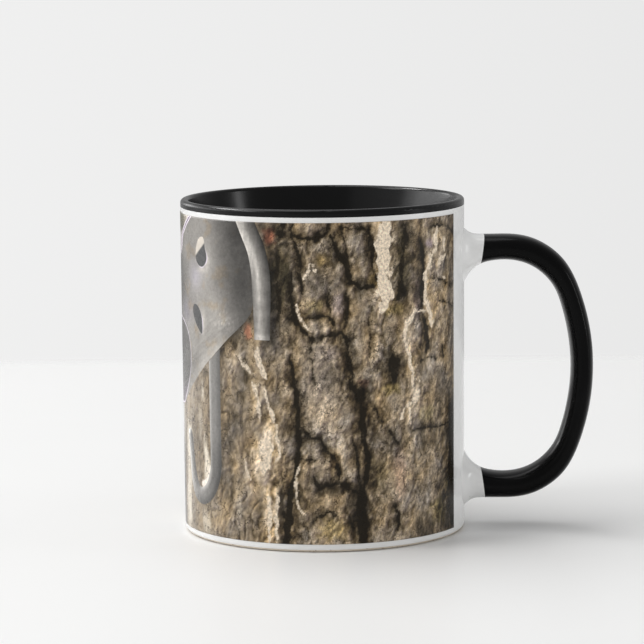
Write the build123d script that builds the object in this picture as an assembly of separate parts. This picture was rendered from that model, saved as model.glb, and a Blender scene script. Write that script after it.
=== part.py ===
"""A straight-walled stoneware mug: black glaze inside and on the handle, white glaze outside,
and a dyed picture coat wrapped round the wall from one side of the handle to the other.

Frame: millimetres, +Z up, origin on the mug's axis in the plane that its foot stands on.
The handle points along +X. Each layer of clay, slip, glaze and coating is a solid of its own,
and the layers meet face to face.
"""

from build123d import *

import math
import os

# Driving dimensions, in millimetres
HEIGHT = 96.2
WALL_RADIUS_TOP = 40.9  # outside of the white glaze at the rim
WALL_RADIUS_BASE = 40.6  # the wall drafts in slightly towards the foot
BORE_RADIUS = 36.6  # straight part of the inside, over the glaze
LIP_BORE_RADIUS = 38.7  # the inside opens towards the lip
LIP_EASE_BASE = 86.0  # it starts to open here
LIP_ROUND = 1.0
FLOOR_TOP = 8.0
FLOOR_ROUND = 9.0
EASE_ROUND = 30.0

FOOT_ROUND = 1.5
FOOT_INNER_RADIUS = 36.0
RECESS_RADIUS = 34.2
RECESS_HEIGHT = 1.9
RECESS_ROUND = 0.8

GLAZE = 0.3
COAT = 0.1
BARE_FOOT_HEIGHT = 0.8  # the foot is wiped clean of glaze up to here
BARE_FOOT_INNER = 35.3
LINER_EDGE_HEIGHT = 94.1  # the black glaze turns over the lip and stops here
LIP_CREST_RADIUS = 39.8

PRINT_BASE = 2.35
PRINT_TOP = 92.65
PRINT_GAP_HALF_ANGLE = 25.0  # degrees left white on each side of the handle

# The handle's side view: an outer and an inner outline, each a flat arm, a corner arc and a
# long side arc, mirrored about HANDLE_MID_HEIGHT. Heights here are measured from that level.
HANDLE_MID_HEIGHT = 46.6
SIDE_CENTRE_X = 13.1
OUTER_SIDE_RADIUS = 65.0
OUTER_CORNER_RADIUS = 21.0
OUTER_CORNER_X = 53.5
INNER_SIDE_RADIUS = 58.6
INNER_CORNER_RADIUS = 16.6
INNER_CORNER_X = 52.5
HANDLE_HALF_WIDTH = 6.2
HANDLE_ARM_HALF_WIDTH = 6.7
HANDLE_SQUARENESS = 2.5  # 2 is an ellipse, more is a rounder-cornered rectangle

# Where each arm flares on to the wall: (x, height of its outer side, height of its inner
# side, half width), from inside the wall outwards.
OUTER_ARM = OUTER_CORNER_RADIUS + math.sqrt(
    (OUTER_SIDE_RADIUS - OUTER_CORNER_RADIUS) ** 2 - (OUTER_CORNER_X - SIDE_CENTRE_X) ** 2
)
INNER_ARM = INNER_CORNER_RADIUS + math.sqrt(
    (INNER_SIDE_RADIUS - INNER_CORNER_RADIUS) ** 2 - (INNER_CORNER_X - SIDE_CENTRE_X) ** 2
)
ROOT_FLARE = [
    (38.6, OUTER_ARM + 3.6, INNER_ARM - 10.2, 10.6),
    (40.0, OUTER_ARM + 2.6, INNER_ARM - 7.6, 9.5),
    (41.2, OUTER_ARM + 1.5, INNER_ARM - 5.5, 8.3),
    (42.4, OUTER_ARM + 0.6, INNER_ARM - 3.7, 7.5),
    (44.0, OUTER_ARM + 0.1, INNER_ARM - 2.1, 7.0),
    (46.2, OUTER_ARM, INNER_ARM - 0.9, HANDLE_ARM_HALF_WIDTH),
    (49.4, OUTER_ARM, INNER_ARM - 0.2, HANDLE_ARM_HALF_WIDTH),
]
CURVE_ANGLES = [90, 72, 54, 36, 18, 0]  # degrees from the middle of the side
SLIP_PLANE_X = 42.2  # slip fills the joint between the wall and here
DIP_LINE_X = 46.1  # black glaze starts here, at the middle of each arm
DIP_LINE_TILT = 7.5  # degrees that the line leans, outwards at the arm's outer side
SECTION_POINTS = 16
FAR = 200.0


def section_face():
    """Half of the glazed mug's section, in the XZ plane, with X as the radius."""
    outline = Polyline(
        (0, RECESS_HEIGHT),
        (RECESS_RADIUS, RECESS_HEIGHT),
        (FOOT_INNER_RADIUS, 0),
        (WALL_RADIUS_BASE, 0),
        (WALL_RADIUS_TOP, HEIGHT),
        (LIP_BORE_RADIUS, HEIGHT),
        (BORE_RADIUS, LIP_EASE_BASE),
        (BORE_RADIUS, FLOOR_TOP),
        (0, FLOOR_TOP),
        close=True,
    )
    face = make_face(outline)
    rounds = [
        (RECESS_RADIUS, RECESS_HEIGHT, RECESS_ROUND),
        (WALL_RADIUS_BASE, 0, FOOT_ROUND),
        (WALL_RADIUS_TOP, HEIGHT, LIP_ROUND),
        (LIP_BORE_RADIUS, HEIGHT, LIP_ROUND),
        (BORE_RADIUS, LIP_EASE_BASE, EASE_ROUND),
        (BORE_RADIUS, FLOOR_TOP, FLOOR_ROUND),
    ]
    for x, y, radius in rounds:
        corner = min(face.vertices(), key=lambda v: math.hypot(v.X - x, v.Y - y))
        face = fillet(corner, radius)
    return face


def box_face(x0, y0, x1, y1):
    return Pos((x0 + x1) / 2, (y0 + y1) / 2) * Rectangle(x1 - x0, y1 - y0)


def spin(face, start=0.0, angle=360.0):
    """Revolves a face drawn with X as radius and Y as height about the mug's axis."""
    upright = Plane.XZ * face
    return Rot(0, 0, start) * revolve(upright, Axis.Z, angle)


def handle_stations():
    """The upper half of the handle as (outer point, inner point, half width) from the wall
    to the side's middle. Points are (x, height above HANDLE_MID_HEIGHT)."""
    stations = [((x, top), (x, low), half) for x, top, low, half in ROOT_FLARE]
    for degrees in CURVE_ANGLES:
        angle = math.radians(degrees)
        outer = arc_outline(angle, OUTER_SIDE_RADIUS, OUTER_CORNER_RADIUS, OUTER_CORNER_X)
        inner = arc_outline(angle, INNER_SIDE_RADIUS, INNER_CORNER_RADIUS, INNER_CORNER_X)
        swell = math.sin(angle) ** 2 * (HANDLE_ARM_HALF_WIDTH - HANDLE_HALF_WIDTH)
        stations.append((outer, inner, HANDLE_HALF_WIDTH + swell))
    return stations


def arc_outline(angle, side_radius, corner_radius, corner_x):
    """The point of a side arc with a tangent corner arc whose outward normal has this angle."""
    rise = math.sqrt((side_radius - corner_radius) ** 2 - (corner_x - SIDE_CENTRE_X) ** 2)
    join = math.atan2(rise, corner_x - SIDE_CENTRE_X)
    if angle < join:
        centre, radius = (SIDE_CENTRE_X, 0.0), side_radius
    else:
        centre, radius = (corner_x, rise), corner_radius
    return centre[0] + radius * math.cos(angle), centre[1] + radius * math.sin(angle)


def signed_power(value, power):
    return math.copysign(abs(value) ** power, value)


def handle_section(outer, inner, half_width, inset):
    """A rounded section between an outer and an inner point, drawn inset from its surface."""
    outer = Vector(outer[0], 0, outer[1] + HANDLE_MID_HEIGHT)
    inner = Vector(inner[0], 0, inner[1] + HANDLE_MID_HEIGHT)
    across = (outer - inner).normalized()
    centre = (outer + inner) / 2
    half_thick = (outer - inner).length / 2 - inset
    half_wide = half_width - inset
    points = []
    for k in range(SECTION_POINTS):
        turn = 2 * math.pi * k / SECTION_POINTS
        a = half_thick * signed_power(math.cos(turn), 2 / HANDLE_SQUARENESS)
        b = half_wide * signed_power(math.sin(turn), 2 / HANDLE_SQUARENESS)
        points.append(centre + across * a + Vector(0, 1, 0) * b)
    return make_face(Spline(*points, periodic=True))


def handle_solid(inset):
    """The whole handle with both flares, running on into the wall."""
    upper = handle_stations()
    lower = [((o[0], -o[1]), (i[0], -i[1]), w) for o, i, w in reversed(upper[:-1])]
    return loft([handle_section(o, i, w, inset) for o, i, w in upper + lower])


def beyond_x(x):
    """Everything further out than a plane x = const."""
    return Pos(x + FAR / 2, 0, 0) * Box(FAR, FAR, 2 * FAR)


def black_zone():
    """The part of space where the handle is dipped in black: beyond a leaning plane on each arm."""
    upper = (
        Pos(DIP_LINE_X, 0, HANDLE_MID_HEIGHT + (OUTER_ARM + INNER_ARM) / 2)
        * Rot(0, DIP_LINE_TILT, 0)
        * Pos(FAR / 2, 0, 0)
        * Box(FAR, FAR, FAR)
    )
    lower = (
        Pos(DIP_LINE_X, 0, HANDLE_MID_HEIGHT - (OUTER_ARM + INNER_ARM) / 2)
        * Rot(0, -DIP_LINE_TILT, 0)
        * Pos(FAR / 2, 0, 0)
        * Box(FAR, FAR, FAR)
    )
    above = Pos(0, 0, HANDLE_MID_HEIGHT + FAR) * Box(2 * FAR, FAR, 2 * FAR)
    return (upper & above) + (lower - above)


def wall_line_radius(height):
    """Radius of the white glaze's surface at a height."""
    return WALL_RADIUS_BASE + (WALL_RADIUS_TOP - WALL_RADIUS_BASE) * height / HEIGHT


def wall_bulk(inset):
    """A solid cone that fills the whole mug out to the wall, drawn inset from the surface."""
    return Cone(
        WALL_RADIUS_BASE - inset,
        WALL_RADIUS_TOP - inset,
        HEIGHT,
        align=(Align.CENTER, Align.CENTER, Align.MIN),
    )


def print_coat():
    face = make_face(
        Polyline(
            (wall_line_radius(PRINT_BASE), PRINT_BASE),
            (wall_line_radius(PRINT_BASE) + COAT, PRINT_BASE),
            (wall_line_radius(PRINT_TOP) + COAT, PRINT_TOP),
            (wall_line_radius(PRINT_TOP), PRINT_TOP),
            close=True,
        )
    )
    return spin(face, PRINT_GAP_HALF_ANGLE, 360 - 2 * PRINT_GAP_HALF_ANGLE)


def cup_pieces():
    """The clay cup and the three patches of glaze on it, from one section."""
    skin = section_face()
    inner = offset(skin, amount=-GLAZE, kind=Kind.ARC)
    axis_strip = box_face(0, RECESS_HEIGHT + GLAZE, 1, FLOOR_TOP - GLAZE)
    bare_foot = box_face(BARE_FOOT_INNER, -1, WALL_RADIUS_TOP + 1, BARE_FOOT_HEIGHT)
    core = inner + axis_strip + (skin & bare_foot)
    glaze = skin - core
    mid_floor = (RECESS_HEIGHT + FLOOR_TOP) / 2
    inside = box_face(-1, mid_floor, LIP_CREST_RADIUS, HEIGHT + 1)
    lip = box_face(LIP_CREST_RADIUS, LINER_EDGE_HEIGHT, WALL_RADIUS_TOP + 1, HEIGHT + 1)
    outside = box_face(LIP_CREST_RADIUS, 0, WALL_RADIUS_TOP + 1, LINER_EDGE_HEIGHT)
    below = box_face(-1, -1, LIP_CREST_RADIUS - 2, mid_floor)
    liner = glaze & (inside + lip)
    return {
        "cup_body": spin(core),
        "black_liner_glaze": spin(liner),
        "white_outer_glaze": spin(glaze & outside),
        "white_base_glaze": spin(glaze & below),
    }


def build():
    cup = cup_pieces()
    skin, core = handle_solid(0.0), handle_solid(GLAZE)
    black = black_zone()
    shell = skin - core
    clay_wall, glazed_wall = wall_bulk(GLAZE), wall_bulk(0.0)
    slip = core - beyond_x(SLIP_PLANE_X) - clay_wall
    upper_half = Pos(0, 0, HANDLE_MID_HEIGHT + FAR) * Box(2 * FAR, FAR, 2 * FAR)
    root_glaze = shell - black - glazed_wall
    return {
        "cup_body": cup["cup_body"],
        "black_liner_glaze": cup["black_liner_glaze"],
        "white_base_glaze": cup["white_base_glaze"],
        "white_outer_glaze": cup["white_outer_glaze"] - core + root_glaze,
        "handle_body": core & beyond_x(SLIP_PLANE_X),
        "upper_slip_joint": slip & upper_half,
        "lower_slip_joint": slip - upper_half,
        "black_handle_glaze": shell & black,
        "print_coat": print_coat(),
    }


os.makedirs("parts", exist_ok=True)
for name, shape in build().items():
    export_step(shape, f"parts/{name}.step")
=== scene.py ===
"""Looks for the two-tone mug: glazes, bare clay and the picture wrapped round its wall.

The glaze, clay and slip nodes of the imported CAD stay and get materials. The thin printed coat is
replaced by a finer mesh of the same size, whose vertices carry the picture: bark with a generic
sheet-metal sap spout, drawn here from shapes and noise.
"""

import math

import bpy
import numpy as np
from mathutils import Matrix, Vector


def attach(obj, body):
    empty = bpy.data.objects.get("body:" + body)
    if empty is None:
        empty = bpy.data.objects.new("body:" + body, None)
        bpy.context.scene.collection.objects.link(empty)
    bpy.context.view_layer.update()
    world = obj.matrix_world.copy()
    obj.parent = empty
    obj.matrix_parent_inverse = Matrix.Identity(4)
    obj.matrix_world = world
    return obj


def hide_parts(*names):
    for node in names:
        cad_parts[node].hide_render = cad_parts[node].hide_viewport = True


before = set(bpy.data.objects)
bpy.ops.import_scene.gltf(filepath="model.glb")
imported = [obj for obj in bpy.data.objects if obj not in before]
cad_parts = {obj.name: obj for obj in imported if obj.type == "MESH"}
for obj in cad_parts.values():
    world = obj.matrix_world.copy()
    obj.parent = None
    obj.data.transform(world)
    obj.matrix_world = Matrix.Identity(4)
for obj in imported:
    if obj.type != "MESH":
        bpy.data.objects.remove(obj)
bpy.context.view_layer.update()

MM = 0.001

# The wall that carries the print, in millimetres. These match the CAD part.
HEIGHT = 96.2
WALL_RADIUS_TOP = 40.9
WALL_RADIUS_BASE = 40.6
COAT = 0.1
PRINT_BASE = 2.35
PRINT_TOP = 92.65
PRINT_HALF_TURN = math.radians(180 - 25.0)
PRINT_RADIUS = 41.0  # lengths round the picture are measured at this radius
COLUMNS_BACK = 154  # the half towards the camera has the finer grid
COLUMNS_FRONT = 278
COLUMNS = COLUMNS_BACK + COLUMNS_FRONT
ROWS = 216
LIGHT = (-0.80, 0.60)  # where the picture's own light comes from, in u and z

# Painted light: how much lighter or darker the picture's ink is made round the wall, to make up for
# uneven room light: (u, gain)
EVENING = [
    (-112, 1.25), (-20, 1.0), (5, 0.52), (12, 0.88), (34, 1.15), (48, 1.31), (64, 1.62), (90, 1.61),
    (112, 1.28),
]

# The camera and the stage, in metres
CAMERA_PLACE = (-0.0002, -0.9199, 0.1794)
CAMERA_TILT = math.radians(7.405)
CAMERA_TURN = math.radians(0.011)
CAMERA_ROLL = math.radians(-0.535)
CAMERA_LENS = 178.95
CAMERA_SENSOR = 36.0
FLOOR_EDGE = 0.355
FLOOR_FADE = 0.012
FLOOR_NEAR = -4.0
FLOOR_SIDE = 1.15
FLOOR_SIDE_FADE = 0.2
FLOOR_COLOURS = ((0.80, 0.80, 0.795), (0.83, 0.83, 0.825))
FLOOR_ROUGHNESS = 0.45
BACKDROP_DISTANCE = 6.0
BACKDROP_BLEND = 0.7

WORLD_STRENGTH = 0.50
# The backdrop's glow is painted light: lit on the left and shaded on the right
BACKDROP_LIT_LEFT = (0.868, 0.868, 0.866)
BACKDROP_SHADED_RIGHT = (0.815, 0.815, 0.813)
LIGHTS = [  # name, place, target, size, watts, seen in reflections only
    ("left_window", (-1.25, -0.38, 0.95), (0, 0, 0.05), (0.5, 0.5), 8.5, False),
    ("left_back_panel", (-1.36, 0.66, 0.40), (0, 0, 0.08), (2.0, 0.8), 10, True),
    ("left_front_panel", (-1.24, -0.84, 0.40), (0, 0, 0.08), (1.6, 0.8), 1.9, True),
    ("left_sill", (-1.30, 0.50, 0.36), (0, 0, 0.08), (1.8, 0.08), 2.6, True),
    ("lip_window", (-1.26, 0.52, 1.45), (0, 0, 0.08), (0.45, 0.45), 24, True),
    ("right_strip", (1.5, -0.22, 0.35), (0, 0, 0.05), (0.22, 0.6), 2.8, False),
    ("top_panel", (-0.60, 0.35, 1.6), (0, 0, 0), (1.6, 1.6), 19.8, False),
]

# --- The picture ------------------------------------------------------------------------------
# It is worked out in millimetres: u runs round the wall from the point opposite the handle,
# positive towards the front, and z is the height.

# The bark's lists below cover the half where u is positive. The other half is the same, turned by
# 180 degrees, so a point (u, z) is used at (sign * u, sign * z + shift) for each of these:
HALVES = ((1, 0), (-1, 95))  # sign, shift

# Dark cracks between the plates of bark: (points, half width, depth)
CRACKS = [
    ([(55.5, 90), (57, 86), (57.8, 82), (58.2, 77), (58.6, 73)], 0.7, 0.8),
    ([(55.6, 79), (55.4, 74), (55.6, 69), (56.2, 66),
      (57.6, 63.8), (59.8, 61.8), (61.6, 60)], 0.9, 1.1),
    ([(61.6, 60), (60.9, 57.8), (60.4, 56), (61.1, 53.4), (61.4, 50.4), (61.9, 47.4)], 0.32, 0.7),
    ([(56.2, 89.6), (58.4, 88.6), (60.4, 88.3), (63, 88.8), (65.4, 90.2), (66.2, 93.5)], 0.75, 1.1),
    ([(66.6, 89.5), (67.2, 87), (68.6, 84.4), (70.2, 81.4),
      (71.4, 78.8), (72.6, 76.2), (75, 74.7), (79, 74.7)], 0.95, 1.2),
    ([(69.4, 92), (70.3, 88), (71, 84), (71.6, 80)], 0.5, 0.7),
    ([(77.4, 90.4), (78, 87), (78.5, 83.5), (78.7, 80), (79.6, 76.6)], 0.85, 1.1),
    ([(70, 91.2), (73, 91), (76.5, 90.6)], 0.4, 0.7),
    ([(60.6, 66.3), (63, 66.5), (65.6, 66.6), (67.2, 64.8), (67.9, 62.6)], 0.55, 0.9),
    ([(66, 73.4), (65.8, 70.6), (66.2, 67.4)], 0.4, 0.7),
    ([(70.8, 73.6), (71.2, 70), (71, 66.5), (70.3, 63)], 0.55, 0.8),
    ([(63.4, 60.8), (66.6, 61.6), (69.6, 61.9), (70.9, 60.2),
      (71.1, 56.6), (71.9, 52.6), (72.8, 49.6)], 0.95, 1.2),
    ([(72.8, 49.6), (71.6, 47), (73.6, 45.2), (75, 42.6),
      (75.3, 38), (75.5, 33), (76.1, 29)], 1.35, 1.3),
    ([(76.1, 29), (76.9, 26), (76.3, 21.8), (75.6, 18), (75.4, 14), (75.8, 10), (75.7, 2)], 1.15, 1.3),
    ([(72, 32.5), (73.4, 29.4), (74, 24), (74.5, 19)], 0.6, 0.8),
    ([(74.4, 17), (73.9, 13), (74.4, 8), (74.8, 2)], 1.3, 1.1),
    ([(55.2, 54), (56, 49.5), (56.6, 44), (57, 38),
      (57.3, 33), (57.2, 29), (56.3, 24), (55.2, 19.6)], 0.95, 1.2),
    ([(55.2, 19.6), (54.2, 14), (53.8, 9), (53.4, 2)], 1.9, 1.15),
    ([(57.5, 36), (59.4, 33.9), (61.2, 32.5), (63.2, 32.2), (63.9, 30.3),
      (65.8, 28.2), (67.4, 26.2), (68.1, 23.2), (68.7, 20.8)], 0.55, 1.1),
    ([(63.8, 18.7), (66.2, 19.4), (68.8, 19.6), (71, 18.4), (73.4, 16.8), (75, 14.8)], 0.85, 1.3),
    ([(61.2, 21.6), (62, 19.4), (63.6, 17.8)], 0.8, 0.8),
    ([(61, 8.6), (63, 10.4), (65.6, 11.6), (67.4, 10.8)], 0.7, 0.6),
    ([(83.1, 34.2), (84.8, 31.6), (86.8, 29.4)], 0.45, 0.8),
    ([(78.4, 41.6), (79.8, 38.4), (81.6, 36.4)], 0.5, 0.6),
    ([(91.2, 33.1), (96.3, 33.4), (100.8, 32.8), (104.8, 33.2), (108, 33.7)], 0.45, 0.8),
    ([(109, 38.6), (109.4, 31), (109.2, 22), (109.8, 14), (110.6, 3)], 2.4, 1.2),
    ([(85, 12.6), (86.3, 9.6), (85.9, 5)], 0.75, 0.9),
    ([(95, 65.4), (96.2, 62.4), (97, 59.4), (96.8, 55.2)], 1.15, 1.2),
    ([(94.6, 86), (95.3, 80), (95, 73.6), (94.5, 67.6)], 0.85, 0.8),
    ([(84.4, 54.6), (84.9, 51.4), (85, 48.4)], 2.5, 1.0),
    ([(87.4, 75.6), (87.2, 72), (86.2, 70.4)], 1.5, 0.9),
    ([(88.4, 92), (88.8, 87), (87.8, 81), (87.6, 76)], 0.9, 0.5),
    ([(78, 69), (77.4, 65), (77.8, 59.4), (77.4, 55)], 0.32, 0.6),
    ([(98.6, 90), (103, 90.2), (107.6, 89.2), (110.6, 87)], 0.4, 0.8),
    ([(104.1, 55.6), (104.3, 52.4)], 0.5, 0.8),
    ([(94, 52.6), (96.6, 53), (99, 53.4), (101, 52.2)], 0.3, 0.6),
    ([(98, 75.6), (102, 75.2), (106, 73.6), (110, 72.6)], 0.22, 0.5),
    ([(102, 69), (106, 68), (110.6, 66.4)], 0.22, 0.5),
    ([(51.6, 84), (51.4, 76), (51.8, 70), (52, 65)], 0.9, 0.6),
    ([(52.6, 89), (53.4, 92.6)], 1.3, 1.0),
    ([(58, 27), (60, 26.2), (61.8, 26.6)], 0.3, 0.5),
    ([(57, 93.4), (55.4, 90.8)], 0.5, 0.9),
]

# Pale raised edges and ridges: (points, half width, height)
RIDGES = [
    ([(82.8, 93), (82.2, 88), (81.2, 84.4), (81.8, 80),
      (82.5, 77), (81.7, 73.6), (82.2, 71), (81.2, 67.6)], 3.0, 1.0),
    ([(83.4, 76), (83.9, 73.4), (84.4, 71.2)], 1.3, 0.9),
    ([(101.7, 89.6), (100.5, 87.2), (100.8, 84), (98.8, 82),
      (98.1, 80), (96.5, 77.2), (96.3, 74), (95.9, 70.4)], 0.9, 1.1),
    ([(95.9, 70.4), (97.2, 68), (98.4, 65), (99, 62)], 1.2, 1.1),
    ([(95.8, 66.4), (92.2, 66.6), (90.4, 64.6), (88.8, 62.2), (88.8, 59),
      (89.8, 55), (90.6, 51.8), (91.3, 48.4), (91.2, 45.8)], 0.7, 1.0),
    ([(93.6, 44.2), (92.4, 42.6), (90.8, 41.2)], 1.35, 1.2),
    ([(91, 41.2), (89.2, 40.2), (87.8, 38.6), (87.2, 36.8)], 0.75, 1.2),
    ([(90.2, 40), (90.2, 37), (90.2, 34.6)], 0.35, 1.0),
    ([(92.8, 47.6), (93.8, 46.6)], 0.5, 0.7),
    ([(104.9, 86.6), (104.8, 83)], 0.8, 0.9),
    ([(105.6, 81.4), (103.6, 80.6), (102, 78.8)], 0.8, 0.9),
    ([(104, 75.8), (105.2, 75)], 0.4, 0.6),
    ([(43.4, 48), (44.8, 44.4), (45.5, 40), (45.8, 37)], 0.5, 0.9),
    ([(47.2, 46.6), (48.6, 41), (50.4, 36.4), (50.9, 32.6), (51.6, 27.6), (50.2, 25)], 0.55, 0.9),
    ([(46.4, 31.4), (48, 30.6), (49.4, 29)], 1.6, 1.1),
    ([(46.2, 29.4), (47.6, 27), (46.6, 22)], 1.9, 1.1),
    ([(48, 16.4), (48.4, 11), (48.2, 2)], 0.7, 1.0),
    ([(51, 15.4), (50.4, 10), (50.6, 2)], 0.6, 1.0),
    ([(40.4, 25.6), (41, 23), (42.4, 19.6)], 0.4, 0.8),
    ([(57.4, 25), (56.1, 20.8), (56.5, 17), (56.8, 13), (59, 10.8)], 0.3, 0.9),
    ([(56.8, 70), (58.2, 65.8), (60.8, 62.6)], 0.4, 0.6),
    ([(59.2, 77), (61, 81), (62.4, 79)], 0.5, 0.4),
    ([(39, 55), (41, 52), (43.6, 50)], 0.6, 0.6),
    ([(45, 57.6), (45.8, 53), (47.8, 49)], 1.0, 0.5),
]

# Whole plates that stand out: (centre, half width, half height, lean, height)
PLATES = [
    ((60.4, 92), 4.2, 3.0, 0.0, 1.0),
    ((64, 83.6), 3.4, 3.6, 0.1, 0.5),
    ((62.4, 75), 3.6, 4.6, 0.0, 0.5),
    ((61.6, 69.4), 3.6, 3.0, 0.0, 0.4),
    ((68.4, 68.4), 2.1, 5.2, 0.08, 0.8),
    ((63.6, 63.4), 3.0, 2.3, -0.2, 0.6),
    ((74.2, 82), 3.2, 7.6, -0.12, 0.7),
    ((63.5, 52), 7.0, 9.0, 0.05, 0.6),
    ((67, 41), 7.2, 10.0, -0.1, 0.7),
    ((71.2, 27), 3.0, 8.6, -0.12, 0.7),
    ((62, 24.5), 4.6, 7.0, -0.1, 0.2),
    ((67.4, 13.4), 5.0, 4.0, 0.0, 0.5),
    ((92.2, 60.4), 2.9, 5.4, 0.0, 0.5),
    ((103, 78), 6.4, 11.0, 0.0, 0.5),
    ((102, 60), 5.8, 7.5, 0.0, 0.3),
]

# Broad patches that are darker or lighter: (u, z, half width, half height, gain)
PATCHES = [
    (54.6, 78, 2.4, 14, 0.74),
    (50.4, 78, 2.0, 8, 0.88),
    (53.2, 43, 1.6, 10, 1.12),
    (54.8, 24, 2.0, 4, 1.1),
    (55.4, 61, 2.4, 3, 0.84),
    (54.6, 55, 2.2, 3, 1.18),
    (61.0, 76, 2.8, 4, 0.86),
    (66.4, 76, 3.2, 5, 0.78),
    (67.0, 61.5, 3.0, 3.4, 1.18),
    (67.4, 29, 2.8, 6, 1.28),
    (66.4, 17.4, 4.6, 1.5, 0.74),
    (76.2, 45, 2.2, 4.5, 0.62),
    (73.6, 12, 3.0, 6, 0.62),
    (78.8, 34, 2.2, 12, 0.88),
    (79.4, 60, 3.6, 8, 1.26),
    (80.0, 45, 2.2, 5, 1.22),
    (88.8, 84, 3.2, 9, 0.68),
    (89.0, 73.6, 2.4, 3, 0.68),
    (91.0, 55, 2.6, 5, 1.34),
    (85.0, 52, 3.6, 4.6, 0.70),
    (85.4, 29, 2.8, 4.6, 0.80),
    (84.6, 18, 3.0, 5, 1.08),
    (89.6, 8, 2.6, 5, 1.16),
    (91.0, 26, 2.8, 6, 1.18),
    (92.0, 41, 2.8, 4.4, 1.22),
    (94.4, 80, 1.7, 10, 0.80),
    (97.6, 69, 3.0, 7, 1.20),
    (102.6, 70, 3.0, 9, 1.24),
    (97.6, 60, 3.0, 4, 1.16),
    (103.4, 54, 3.0, 4, 1.2),
    (97.8, 88, 2.6, 4, 1.2),
    (96.2, 4.4, 4.2, 4.5, 0.54),
    (64.4, 4.2, 4.0, 3.4, 1.2),
    (104.4, 8, 3.6, 7, 0.74),
    (103.4, 45, 3.4, 5.4, 0.80),
    (108.8, 82, 2.4, 12, 0.78),
    (109.6, 58, 2.0, 20, 0.86),
    (109.6, 26, 3.0, 13, 0.36),
    (109.4, 7, 2.8, 6, 0.46),
    (37.0, 34, 3.0, 5.4, 0.76),
    (19.4, 30, 2.4, 7, 0.74),
    (37.4, 55, 2.8, 5, 1.22),
    (37.4, 47, 2.8, 4, 1.2),
    (31.0, 37, 2.6, 8, 1.14),
    (43.4, 40, 2.6, 5, 1.1),
    (31.4, 9, 3.2, 7, 1.22),
    (37.4, 5, 3.0, 4.4, 1.16),
    (43.6, 23, 2.8, 9, 1.36),
    (47.4, 29, 3.0, 5.4, 1.36),
    (48.8, 35, 2.2, 3.0, 1.30),
    (48.8, 18.6, 2.6, 4.4, 1.6),
    (48.6, 8, 2.4, 7, 1.5),
    (54.8, 15, 1.6, 8, 1.30),
    (45.6, 42, 2.6, 9, 1.10),
]

# Patches of colour: (u, z, half width, half height, red, green, blue, strength)
TINTS = [
    (49.3, 88.8, 2.2, 2.4, 0.62, 0.38, 0.29, 0.85),
    (42.2, 62.0, 1.7, 2.4, 0.66, 0.44, 0.34, 0.85),
    (51.5, 75, 1.6, 2.0, 0.50, 0.38, 0.30, 0.4),
    (75.5, 47.6, 1.8, 1.6, 0.60, 0.42, 0.34, 0.5),
    (65, 82, 2.6, 2.4, 0.46, 0.37, 0.18, 0.45),
    (62, 69.6, 3.0, 2.4, 0.50, 0.44, 0.26, 0.40),
    (85.4, 67.6, 3.4, 2.2, 0.50, 0.43, 0.24, 0.55),
    (84, 45.6, 3.2, 1.8, 0.50, 0.43, 0.22, 0.5),
    (78.6, 76.6, 1.6, 2.4, 0.45, 0.36, 0.16, 0.5),
    (80, 22, 3.5, 5.0, 0.48, 0.42, 0.27, 0.35),
    (67, 6.6, 5.0, 3.6, 0.50, 0.42, 0.22, 0.45),
    (102, 9, 4.0, 4.4, 0.43, 0.38, 0.20, 0.5),
    (107, 16, 2.0, 3.0, 0.46, 0.42, 0.20, 0.5),
    (97, 37.4, 3.6, 2.6, 0.47, 0.43, 0.26, 0.4),
    (88, 80, 3.4, 11.0, 0.40, 0.34, 0.20, 0.5),
    (52.4, 78, 3.2, 9.0, 0.34, 0.31, 0.20, 0.5),
    (86.6, 22, 2.4, 9.0, 0.60, 0.49, 0.43, 0.4),
    (63, 46, 7.0, 14.0, 0.565, 0.52, 0.47, 0.5),
    (68.4, 69.5, 2.2, 4.6, 0.52, 0.48, 0.50, 0.5),
    (66, 56.5, 3.2, 2.2, 0.40, 0.37, 0.37, 0.5),
    (98.5, 85.4, 2.4, 1.6, 0.40, 0.35, 0.42, 0.45),
    (93.4, 71, 1.6, 6.0, 0.40, 0.33, 0.36, 0.4),
]

# The sheet-metal spout, the right half; the left half mirrors it. All of these are
# outlines or middle lines of (u, z) points.
SPOUT_EDGE = [
    (19.5, 95), (13, 90.4), (9.2, 87.6), (7.4, 84.6), (5.6, 81.2), (2.5, 79.8), (0, 79.6),
]
SPOUT_SIDE = [
    (0, 36), (8.6, 38.2), (12.4, 40.6), (15.6, 43.2), (19, 45.9), (22.5, 48.8), (26, 51.8),
    (29, 54.1), (32, 56.6), (35.5, 59.7), (38.4, 62.0), (41.2, 64.4), (43.3, 67), (44.2, 71), (44, 76),
    (43.4, 82), (42.3, 87), (40.2, 91), (37.4, 95),
]
MOUTH = [
    (0, 62.7), (5, 62.5), (9, 61.9), (12, 60.6), (14.1, 58.6), (15.4, 56), (15.9, 53), (15.7, 49.6),
    (14.6, 46.4), (12.6, 43.2), (10.4, 40.4), (8.4, 38.3), (0, 37.4),
]
UPPER_HOLE = [
    (20.4, 81.9), (20.6, 83.4), (21.6, 85.8), (23.2, 87.2), (24.7, 87.3), (25.4, 86.2),
    (25.7, 84.2), (26.4, 82.6), (26.5, 81), (25.6, 79.6), (24, 78.8), (22.2, 79.2), (20.9, 80.4),
]
LOWER_HOLE = [
    (18.1, 66.6), (19, 67.7), (20.4, 67.8), (22, 66.9), (23.2, 65.2), (23.8, 63), (23.8, 60.6),
    (23.4, 59.6), (22.2, 60.4), (20.6, 61.8), (19.2, 63.4), (18.3, 65),
]
ROD = [(40.6, 95), (42.9, 90), (45.1, 85), (46.2, 80), (46.6, 75), (46.7, 68), (46.7, 59.7)]
ROD_HALF = 2.85
ROD_END = 59.7
LOOP = [
    (29.3, 58), (29.3, 45), (29.3, 35), (29.4, 26), (29.1, 20.6), (27.4, 16.4), (24.6, 13.7),
    (21.5, 13.1), (18.8, 14.6), (16.8, 18.4), (15.8, 23), (15, 27), (14.3, 29.6),
]
LOOP_HALF = 2.45
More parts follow.
